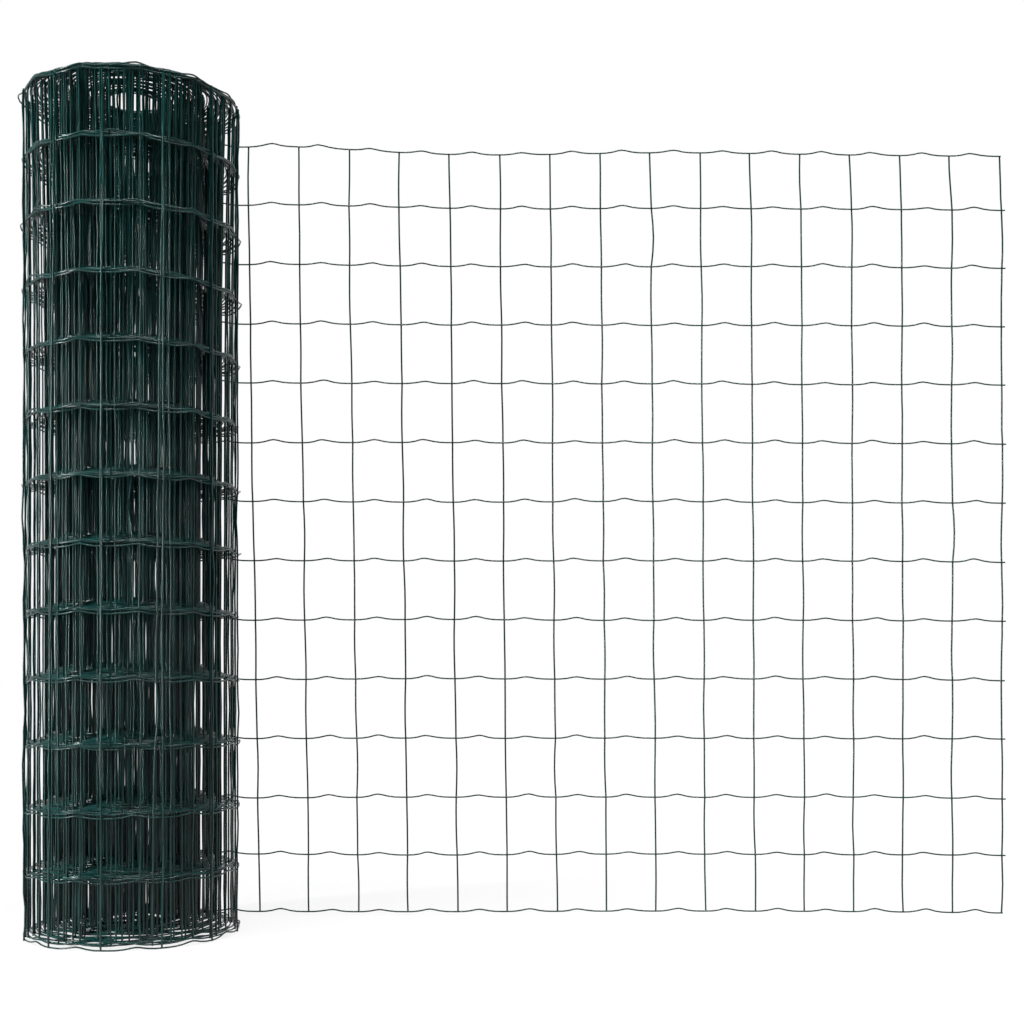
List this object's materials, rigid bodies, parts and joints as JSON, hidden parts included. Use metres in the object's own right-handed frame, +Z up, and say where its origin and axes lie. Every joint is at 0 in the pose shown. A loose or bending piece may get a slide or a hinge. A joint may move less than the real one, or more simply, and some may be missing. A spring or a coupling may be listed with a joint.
{
  "type": "roll of wire fencing",
  "caption": "Roll of green plastic-coated welded wire fencing standing on its end, with the free end of the sheet unrolled flat beside it; used to fence gardens and plots.",
  "frame": {"origin": "on the axis of the roll's open core, level with the floor the roll stands on", "axes": "+Z up along the core's axis, +X along the unrolled end from the roll to its cut edge, +Y towards the side of the roll that the sheet leaves"},
  "size_m": [1.2249, 0.2558, 1.0075],
  "materials": {
    "green_coated_wire": "satin dark green plastic coating over steel wire"
  },
  "bodies": {
    "root": {"rolled_turns": "green_coated_wire", "unrolled_sheet": "green_coated_wire"}
  },
  "joints": []
}
